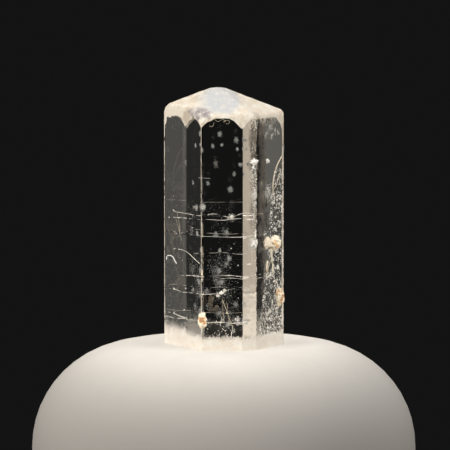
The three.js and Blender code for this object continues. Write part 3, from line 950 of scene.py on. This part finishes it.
# healed cracks and scratches on the surface: face, radius, (x, z) points
surfaceCracks = {
    "sunk": 0.0,       # below the surface, at the middle of the tube
    "step": 0.03,
    "taper": 0.12,     # share of the length over which an end thins out
    "lines": [
        (60, 0.026, [(2.26, 7.34), (2.12, 7.13), (1.97, 6.81), (1.88, 6.4), (1.87, 6.1), (1.93, 5.65)]),
        (60, 0.016, [(1.78, 3.36), (1.68, 3.0), (1.7, 2.8), (1.86, 2.72), (1.99, 2.5), (1.92, 2.3)]),
        (60, 0.014, [(1.9, 6.05), (2.02, 6.25), (2.12, 6.6), (2.2, 6.7)]),
        (0, 0.01, [(-0.07, 2.02), (0.09, 1.62), (0.2, 1.31), (0.37, 0.85)]),
        (0, 0.005, [(-0.04, 1.95), (-0.03, 1.5), (0.02, 1.1)]),
        (0, 0.005, [(0.1, 1.95), (0.15, 1.6), (0.2, 1.05)]),
        (30, 0.007, [(1.05, 3.85), (1.1, 3.4), (1.22, 3.15)]),
        (0, 0.005, [(-0.65, 8.83), (-0.55, 8.76), (-0.45, 8.8), (-0.38, 8.85), (-0.3, 8.8), (-0.22, 8.75),
                    (-0.12, 8.8), (-0.03, 8.84), (0.03, 8.78), (-0.04, 8.72)]),
        (0, 0.005, [(-0.56, 8.62), (-0.48, 8.56), (-0.4, 8.6), (-0.38, 8.7), (-0.32, 8.72)]),
        (0, 0.005, [(0.02, 8.72), (0.08, 8.8), (0.18, 8.8), (0.22, 8.72), (0.14, 8.66), (0.08, 8.7)]),
        (300, 0.0045, [(-1.8, 5.2), (-1.74, 4.9), (-1.68, 4.6), (-1.72, 4.2)]),
        (300, 0.0045, [(-1.84, 4.9), (-1.7, 4.5), (-1.62, 4.1)]),
        (120, 0.008, [(1.4, 7.3), (1.6, 6.8), (1.9, 6.4), (2.1, 6.1)]),
    ],
}


def makeSurfaceCracks(material):
    points, faces = [], []
    for turn, radius, line in surfaceCracks["lines"]:
        knots = [onFace(turn, x, z, surfaceCracks["sunk"]) for x, z in line]
        path = throughPoints(knots, surfaceCracks["step"])
        radii = []
        for i, p in enumerate(path):
            ends = smooth(0, surfaceCracks["taper"], min(i, len(path) - 1 - i) / len(path))
            radii.append(radius * (0.2 + 0.8 * ends) * (1 + 0.7 * noise.noise(p * 9)))
        addTube(points, faces, path, radii)
    return finishPiece("surfaceCracks", points, faces, material)


# a hooked fibre of lint that clings to the left-hand face: (x, z) points
lintFibre = {
    "face": 300,
    "radius": 0.02,
    "proud": 0.02,     # how far its middle stands out of the face
    "step": 0.015,
    "knots": [(-2.2, 3.28), (-2.19, 3.4), (-2.11, 3.46), (-2.0, 3.45), (-1.92, 3.38), (-1.88, 3.29),
              (-1.81, 3.2)],
}


def makeLintFibre(material):
    knots = [onFace(lintFibre["face"], x, z, -lintFibre["proud"]) for x, z in lintFibre["knots"]]
    path = throughPoints(knots, lintFibre["step"])
    radii = [lintFibre["radius"] * (0.75 + 0.5 * noise.noise(p * 14)) for p in path]
    points, faces = [], []
    addTube(points, faces, path, radii, sides=8)
    return finishPiece("lintFibre", points, faces, material)


def newMaterial(name):
    material = bpy.data.materials.new(name)
    material.use_nodes = True
    return material, material.node_tree, material.node_tree.nodes["Principled BSDF"]


def newGroup(name, inputs, outputs):
    group = bpy.data.node_groups.new(name, "ShaderNodeTree")
    for socketName, value in inputs.items():
        socket = group.interface.new_socket(socketName, in_out="INPUT", socket_type="NodeSocketFloat")
        socket.default_value = value
    for socketName in outputs:
        group.interface.new_socket(socketName, in_out="OUTPUT", socket_type="NodeSocketFloat")
    return group, group.nodes.new("NodeGroupInput"), group.nodes.new("NodeGroupOutput")


def mathNode(tree, operation, *values):
    node = tree.nodes.new("ShaderNodeMath")
    node.operation = operation
    for socket, value in zip(node.inputs, values):
        if isinstance(value, (int, float)):
            socket.default_value = value
        else:
            tree.links.new(value, socket)
    return node.outputs[0]


def mixColours(tree, share, a, b):
    node = tree.nodes.new("ShaderNodeMix")
    node.data_type = "RGBA"
    tree.links.new(share, node.inputs["Factor"])
    for socket, colour in ((node.inputs[6], a), (node.inputs[7], b)):
        if isinstance(colour, tuple):
            socket.default_value = (*colour, 1)
        else:
            tree.links.new(colour, socket)
    return node.outputs[2]


def readMask(tree, name):
    node = tree.nodes.new("ShaderNodeAttribute")
    node.attribute_name = name
    return node.outputs["Fac"]


# speckle in two sizes, placed by the piece's own coordinates
mineralGrain = {
    "inputs": {"Scale": 4000.0, "Fine Share": 0.4, "Contrast": 1.0},
    "finer": 3.7,       # the fine speckle is this much finer than the coarse
    "detail": 3,
}


def makeGrainGroup():
    group, start, end = newGroup("mineralGrain", mineralGrain["inputs"], ("Grain", "Height"))
    place = group.nodes.new("ShaderNodeTexCoord")
    coarse = group.nodes.new("ShaderNodeTexNoise")
    fine = group.nodes.new("ShaderNodeTexNoise")
    for noiseNode in (coarse, fine):
        group.links.new(place.outputs["Object"], noiseNode.inputs["Vector"])
        noiseNode.inputs["Detail"].default_value = mineralGrain["detail"]
    group.links.new(start.outputs["Scale"], coarse.inputs["Scale"])
    fineScale = mathNode(group, "MULTIPLY", start.outputs["Scale"], mineralGrain["finer"])
    group.links.new(fineScale, fine.inputs["Scale"])
    mix = group.nodes.new("ShaderNodeMix")
    group.links.new(start.outputs["Fine Share"], mix.inputs["Factor"])
    group.links.new(coarse.outputs["Fac"], mix.inputs[2])
    group.links.new(fine.outputs["Fac"], mix.inputs[3])
    centred = mathNode(group, "SUBTRACT", mix.outputs[0], 0.5)
    strong = mathNode(group, "MULTIPLY_ADD", centred, start.outputs["Contrast"], 0.5)
    clamped = group.nodes.new("ShaderNodeClamp")
    group.links.new(strong, clamped.inputs["Value"])
    group.links.new(clamped.outputs[0], end.inputs["Grain"])
    group.links.new(mix.outputs[0], end.inputs["Height"])
    return group


def placeGrain(tree, group, scale, fineShare, contrast):
    # the speckle's two outputs: its grain from 0 to 1, and a height for the bump
    node = tree.nodes.new("ShaderNodeGroup")
    node.node_tree = group
    node.inputs["Scale"].default_value = scale
    node.inputs["Fine Share"].default_value = fineShare
    node.inputs["Contrast"].default_value = contrast
    return node.outputs["Grain"], node.outputs["Height"]


def addBump(tree, shader, height, strength, distance):
    bump = tree.nodes.new("ShaderNodeBump")
    bump.inputs["Strength"].default_value = strength
    bump.inputs["Distance"].default_value = distance * mm
    tree.links.new(height, bump.inputs["Height"])
    tree.links.new(bump.outputs["Normal"], shader.inputs["Normal"])


# in these settings a grain is its scale, share of fine speckle and contrast, and a bump is its
# strength and its depth in mm
clearPhenakite = {
    "ior": 1.66,
    "polished": 0.004,         # roughness of the clear faces, and what milk and etching add to it
    "milky": 0.34,
    "etched": 0.1,
    "roughVaries": 2.0,        # how strongly the grain varies what they add
    "body": (1.0, 0.98, 0.935),
    "etchedBody": (0.66, 0.64, 0.6),
    "browned": (0.88, 0.77, 0.66),
    "grime": (0.1, 0.098, 0.085),
    "grimeCover": (0.5, 0.62),     # how much the grime varies, and what it covers at least
    "grain": (2600.0, 0.35, 1.6),
    "pits": (5720.0, 0.7, 5.0),
    "bump": (0.6, 0.03),
}


def makeClearMaterial(grainGroup):
    material, tree, shader = newMaterial("clearPhenakite")
    shader.inputs["Transmission Weight"].default_value = 1.0
    shader.inputs["IOR"].default_value = clearPhenakite["ior"]
    grain, height = placeGrain(tree, grainGroup, *clearPhenakite["grain"])
    milky, etched = readMask(tree, "milky"), readMask(tree, "etched")
    milkyRough = mathNode(tree, "MULTIPLY", milky, clearPhenakite["milky"])
    etchedRough = mathNode(tree, "MULTIPLY", etched, clearPhenakite["etched"])
    rough = mathNode(tree, "MULTIPLY", mathNode(tree, "ADD", milkyRough, etchedRough),
                     mathNode(tree, "MULTIPLY", grain, clearPhenakite["roughVaries"]))
    rough = mathNode(tree, "ADD", rough, clearPhenakite["polished"])
    tree.links.new(rough, shader.inputs["Roughness"])
    colour = mixColours(tree, etched, clearPhenakite["body"], clearPhenakite["etchedBody"])
    colour = mixColours(tree, readMask(tree, "browned"), colour, clearPhenakite["browned"])
    pits = placeGrain(tree, grainGroup, *clearPhenakite["pits"])[0]
    cover = mathNode(tree, "MULTIPLY_ADD", pits, *clearPhenakite["grimeCover"])
    grimy = mathNode(tree, "MULTIPLY", readMask(tree, "grimy"), cover)
    colour = mixColours(tree, grimy, colour, clearPhenakite["grime"])
    tree.links.new(colour, shader.inputs["Base Color"])
    # the height is centred, so that the masked places don't end in a step
    centred = mathNode(tree, "SUBTRACT", height, 0.5)
    masked = mathNode(tree, "MULTIPLY", centred, mathNode(tree, "MAXIMUM", milky, etched))
    addBump(tree, shader, masked, *clearPhenakite["bump"])
    return material


frostedPhenakite = {
    "transmission": 0.45,
    "rough": (0.3, 0.35),      # how much the roughness varies, and its least value
    "dark": (0.78, 0.66, 0.5),
    "light": (1.0, 0.97, 0.89),
    # the paler cream of the painted highlight on the left shoulder
    "shoulder": (1.0, 0.935, 0.82),
    "white": (0.95, 0.925, 0.9),
    "whitening": 0.5,          # the most that the white covers
    # colour of the painted sheen, a painted reflection of cool light
    "paintedSheenBlue": (0.6, 0.64, 0.69),
    "blueVaries": (-0.9, 1.35),    # strength of the painted sheen, weaker where the grain is light
    "grey": (0.26, 0.22, 0.26),
    "greyVaries": 1.3,             # the same for the grey streak
    "beige": (0.68, 0.6, 0.5),
    "grain": (3200.0, 0.45, 4.4),
    "bump": (0.5, 0.06),
}


def makeFrostedMaterial(grainGroup):
    material, tree, shader = newMaterial("frostedPhenakite")
    shader.inputs["Transmission Weight"].default_value = frostedPhenakite["transmission"]
    shader.inputs["IOR"].default_value = clearPhenakite["ior"]
    grain, height = placeGrain(tree, grainGroup, *frostedPhenakite["grain"])
    # the painted sheen: the front slope of the tip is painted bluish where it would reflect cool light
    weaker = mathNode(tree, "MULTIPLY_ADD", grain, *frostedPhenakite["blueVaries"])
    sheen = mathNode(tree, "MULTIPLY", readMask(tree, "paintedBlueSheen"), weaker)
    weaker = mathNode(tree, "SUBTRACT", frostedPhenakite["greyVaries"], grain)
    streak = mathNode(tree, "MULTIPLY", readMask(tree, "greyStreak"), weaker)
    white = mathNode(tree, "MULTIPLY", readMask(tree, "whiteFoot"), frostedPhenakite["whitening"])
    colour = mixColours(tree, grain, frostedPhenakite["dark"], frostedPhenakite["light"])
    # the painted highlight of the left shoulder and the painted sheen of the tip are mixed in with the
    # tints
    for share, tint in ((readMask(tree, "paintedShoulderLight"), "shoulder"), (white, "white"), (sheen, "paintedSheenBlue"),
                        (streak, "grey"), (readMask(tree, "beigeSpot"), "beige")):
        colour = mixColours(tree, share, colour, frostedPhenakite[tint])
    tree.links.new(colour, shader.inputs["Base Color"])
    rough = mathNode(tree, "MULTIPLY_ADD", grain, *frostedPhenakite["rough"])
    tree.links.new(rough, shader.inputs["Roughness"])
    addBump(tree, shader, height, *frostedPhenakite["bump"])
    return material


# finishes of the small pieces: dark and light colour, scale of the grain, least roughness,
# transmission
finishes = {
    "healedRim": ((0.62, 0.58, 0.5), (1.0, 0.98, 0.93), 9000.0, 0.35, 0.25),
    "paleSpeck": ((0.6, 0.66, 0.7), (0.95, 0.98, 1.0), 9000.0, 0.5, 0.2),
    "paleScab": ((0.88, 0.85, 0.79), (1.0, 1.0, 0.98), 6000.0, 0.45, 0.0),
    "crackFilling": ((0.55, 0.45, 0.32), (0.96, 0.88, 0.74), 5000.0, 0.5, 0.15),
    "rustFilm": ((0.05, 0.035, 0.015), (0.2, 0.155, 0.08), 5000.0, 0.6, 0.7),
    "lint": ((0.8, 0.8, 0.8), (1.0, 1.0, 1.0), 12000.0, 0.7, 0.0),
}
finishGrain = {"fineShare": 0.4, "contrast": 2.2, "roughVaries": 0.2, "bump": (0.5, 0.01)}


def makeFinish(name, grainGroup):
    dark, light, scale, leastRough, clear = finishes[name]
    material, tree, shader = newMaterial(name)
    shader.inputs["Transmission Weight"].default_value = clear
    grain, height = placeGrain(tree, grainGroup, scale, finishGrain["fineShare"], finishGrain["contrast"])
    tree.links.new(mixColours(tree, grain, dark, light), shader.inputs["Base Color"])
    rough = mathNode(tree, "MULTIPLY_ADD", grain, finishGrain["roughVaries"], leastRough)
    tree.links.new(rough, shader.inputs["Roughness"])
    addBump(tree, shader, height, *finishGrain["bump"])
    return material


ironStain = {
    # where on the ramp each colour of the stain stands
    "stops": ((0.58, (0.93, 0.84, 0.68)), (0.82, (0.76, 0.44, 0.15)), (1.0, (0.42, 0.19, 0.06))),
    "dust": (1.0, 0.95, 0.85),
    "dustShare": 0.2,
    "patches": (3500.0, 0.15, 5.0),
    "grit": (14000.0, 0.5, 2.0),
    "rough": (0.3, 0.5),
    "bump": (0.7, 0.03),
}


def makeIronMaterial(grainGroup):
    material, tree, shader = newMaterial("ironStain")
    patches = placeGrain(tree, grainGroup, *ironStain["patches"])[0]
    grit, height = placeGrain(tree, grainGroup, *ironStain["grit"])
    ramp = tree.nodes.new("ShaderNodeValToRGB")
    stops = ramp.color_ramp.elements
    stops.new(0.5)
    for stop, (position, colour) in zip(stops, ironStain["stops"]):
        stop.position = position
        stop.color = (*colour, 1)
    stained = mathNode(tree, "MULTIPLY", patches, readMask(tree, "stain"))
    tree.links.new(stained, ramp.inputs["Fac"])
    dusty = mathNode(tree, "MULTIPLY", grit, ironStain["dustShare"])
    colour = mixColours(tree, dusty, ramp.outputs["Color"], ironStain["dust"])
    tree.links.new(colour, shader.inputs["Base Color"])
    rough = mathNode(tree, "MULTIPLY_ADD", grit, *ironStain["rough"])
    tree.links.new(rough, shader.inputs["Roughness"])
    addBump(tree, shader, height, *ironStain["bump"])
    return material


paleFloor = {
    "dark": (0.62, 0.6, 0.572),
    "light": (0.72, 0.707, 0.688),
    # painted shade: the colour the floor is painted towards its edge, where the light falls off
    "rim": (0.25, 0.244, 0.238),
    "grain": (420.0, 0.4, 1.2),
    "rough": 0.9,
}


def makeFloorMaterial(grainGroup):
    material, tree, shader = newMaterial("paleFloor")
    grain = placeGrain(tree, grainGroup, *paleFloor["grain"])[0]
    colour = mixColours(tree, grain, paleFloor["dark"], paleFloor["light"])
    # painted shade, darker towards the edge and down the lip of the floor
    colour = mixColours(tree, readMask(tree, "rim"), colour, paleFloor["rim"])
    tree.links.new(colour, shader.inputs["Base Color"])
    shader.inputs["Roughness"].default_value = paleFloor["rough"]
    return material


grainGroup = makeGrainGroup()
crystalBody = makeCrystal(makeClearMaterial(grainGroup), makeFrostedMaterial(grainGroup))
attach(crystalBody, "root")
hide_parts("crystal")
print("crystalBody", len(crystalBody.data.polygons), "faces")
pieces = [
    crystalBody,
    makeFractureRims(makeFinish("healedRim", grainGroup)),
    makeInnerSpecks(makeFinish("paleSpeck", grainGroup)),
    makeSurfaceGrains(makeFinish("paleScab", grainGroup)),
    makePaleScabs(bpy.data.materials["paleScab"]),
    makeIronCrusts(makeIronMaterial(grainGroup)),
    makeRustFilm(makeFinish("rustFilm", grainGroup)),
    makeSurfaceCracks(makeFinish("crackFilling", grainGroup)),
    makeLintFibre(makeFinish("lint", grainGroup)),
]


# the floor is a round disc with a wide rounded lip, and is painted darker from one share of its radius to
# the other: painted shade where the light falls off towards its edge
stage = {
    "radius": 7.4,
    "top": 0.03,
    "thickness": 4.6,
    "lip": 4.0,
    "steps": 128,
    "lipSteps": 12,
    "paintedFalloff": (0.3, 1.15),
    "darkensBelow": 0.3,      # how much each mm of depth counts as distance outwards
}


def makeFloor(material):
    lip, radius = stage["lip"], stage["radius"]
    arc = [math.radians(90 * i / stage["lipSteps"]) for i in range(stage["lipSteps"] + 1)]
    top = stage["top"]
    profile = [(radius - lip * (1 - math.sin(a)), top - lip * (1 - math.cos(a))) for a in arc]
    profile.append((radius, -stage["thickness"]))
    points = [Vector((0, 0, top))]
    faces = []
    for i in range(stage["steps"]):
        turn = 2 * math.pi * i / stage["steps"]
        points += [Vector((r * math.cos(turn), r * math.sin(turn), z)) for r, z in profile]
    for i in range(stage["steps"]):
        a = 1 + i * len(profile)
        b = 1 + ((i + 1) % stage["steps"]) * len(profile)
        faces.append((0, a, b))
        faces += [(a + j, a + j + 1, b + j + 1, b + j) for j in range(len(profile) - 1)]
    floor = addObject("floorDisc", points, faces, material)
    # the painted shade of the floor's edge and lip, as a mask
    start, end = (share * radius for share in stage["paintedFalloff"])
    addMask(floor, "rim", [smooth(start, end, p.xy.length - stage["darkensBelow"] * p.z) for p in points])
    return floor


# area lamps: degrees clockwise from straight behind the crystal, degrees above level, distance
# and size in mm, power in watts, colour
lamps = {
    "overhead": (0, 84, 60, (60, 60), 0.02, (1, 0.96, 0.91)),
    "keyLeft": (-130, 14, 70, (40, 24), 0.062, (1, 0.93, 0.84)),
    "keyRight": (122, 26, 70, (40, 40), 0.044, (1, 0.94, 0.86)),
    "frontSky": (180, 62, 70, (40, 40), 0.006, (0.85, 0.93, 1)),
    "highLeft": (-50, 48, 70, (40, 40), 0.016, (1, 0.94, 0.86)),
    "highRight": (50, 48, 70, (40, 40), 0.014, (1, 0.95, 0.89)),
    "backLeft": (-21, 6, 80, (16, 60), 0.0015, (1, 0.86, 0.71)),
    "bandFoot": (-21, -12.3, 80, (16, 10.6), 0.000215, (1, 0.92, 0.8)),
    "sideLeft": (-53, 6, 80, (34, 60), 0.00072, (1, 0.99, 0.9)),
    "sideRight": (53, 6, 80, (34, 60), 0.0004, (1, 0.98, 0.92)),
}
lampAim = 5               # height in mm that every lamp points at
worldLight = 0.0068
lens = {"rise": 5.5, "distance": 160.0, "field": 17.31, "aimX": 0.046, "aimZ": 4.585, "sensor": 36.0}


def aimAt(thing, target, direction, distance):
    thing.location = target + direction * distance
    thing.rotation_euler = (-direction).to_track_quat("-Z", "Y").to_euler()


def addLamp(name, turn, rise, distance, size, power, colour):
    light = bpy.data.lights.new(name, "AREA")
    light.shape = "RECTANGLE"
    light.size, light.size_y = (side * mm for side in size)
    light.energy = power
    light.color = colour
    lampObject = bpy.data.objects.new(name, light)
    scene.collection.objects.link(lampObject)
    lampObject.visible_camera = False
    turn, rise = math.radians(turn), math.radians(rise)
    direction = Vector((math.sin(turn) * math.cos(rise), math.cos(turn) * math.cos(rise), math.sin(rise)))
    aimAt(lampObject, Vector((0, 0, lampAim * mm)), direction, distance * mm)


makeFloor(makeFloorMaterial(grainGroup))
for lampName, lamp in lamps.items():
    addLamp(lampName, *lamp)

world = bpy.data.worlds.new("studio")
scene.world = world
world.use_nodes = True
world.node_tree.nodes["Background"].inputs["Color"].default_value = (1, 1, 1, 1)
world.node_tree.nodes["Background"].inputs["Strength"].default_value = worldLight

camera = bpy.data.cameras.new("camera")
camera.sensor_width = lens["sensor"]
camera.lens = lens["sensor"] * lens["distance"] / lens["field"]
camera.clip_start = 0.001
cameraObject = bpy.data.objects.new("camera", camera)
scene.collection.objects.link(cameraObject)
rise = math.radians(lens["rise"])
aimAt(cameraObject, Vector((lens["aimX"], 0, lens["aimZ"])) * mm,
      Vector((0, -math.cos(rise), math.sin(rise))), lens["distance"] * mm)
scene.camera = cameraObject
scene.view_settings.view_transform = "Standard"
print("stage, light and camera ready")
